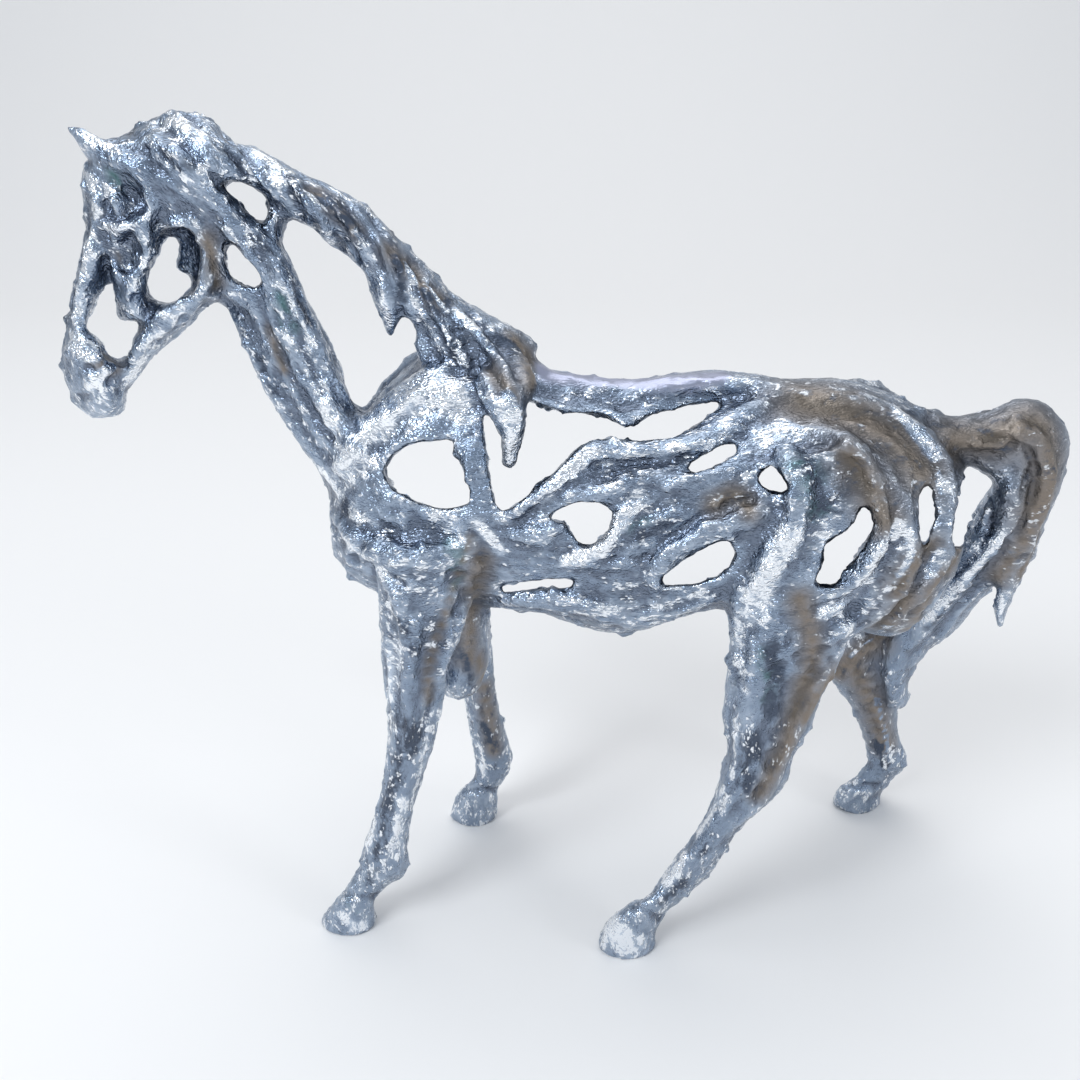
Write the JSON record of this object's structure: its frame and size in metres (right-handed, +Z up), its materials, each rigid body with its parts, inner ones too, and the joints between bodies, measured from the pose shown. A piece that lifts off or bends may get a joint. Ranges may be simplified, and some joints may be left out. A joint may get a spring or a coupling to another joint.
{
  "type": "metal horse figurine",
  "caption": "Openwork figurine of a walking horse, cast in one hollow piece of polished aluminium, with a dripping mane and tail. It stands on its hooves.",
  "frame": {"origin": "on the surface that the horse stands on, under the middle of the box round it", "axes": "+Z up, the horse faces -X and its left side faces -Y"},
  "size_m": [0.4112, 0.1196, 0.3495],
  "materials": {
    "polished_aluminium": "rough-cast, then polished bright over a crinkled surface, with darker patina in the hollows"
  },
  "bodies": {
    "root": {"horse": "polished_aluminium"}
  },
  "joints": []
}
